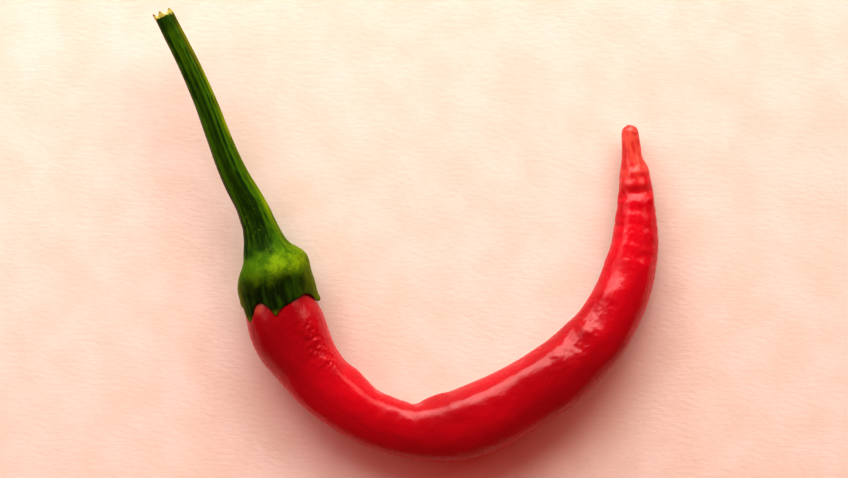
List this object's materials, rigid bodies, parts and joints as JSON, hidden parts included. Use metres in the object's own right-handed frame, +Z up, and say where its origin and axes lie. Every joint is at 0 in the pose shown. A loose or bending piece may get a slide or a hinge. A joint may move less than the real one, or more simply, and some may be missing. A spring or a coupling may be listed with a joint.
{
  "type": "fresh chilli pepper",
  "caption": "Fresh red chilli pepper lying on its side: long glossy pod curved round into a hook, green toothed calyx and ribbed cut stem.",
  "frame": {"origin": "on the surface the chilli lies on, under the middle of its bounding box", "axes": "+X from the stem's side to the tip's side, +Y from the bend of the pod to the open end of its curve, +Z up off the surface"},
  "size_m": [0.1002, 0.0904, 0.0146],
  "materials": {
    "stem_bark": "ribbed, semi-matt green",
    "calyx_skin": "waxy, satin green",
    "pod_skin": "waxy, glossy red"
  },
  "bodies": {
    "root": {"stem": "stem_bark", "calyx": "calyx_skin", "pod": "pod_skin"}
  },
  "joints": []
}
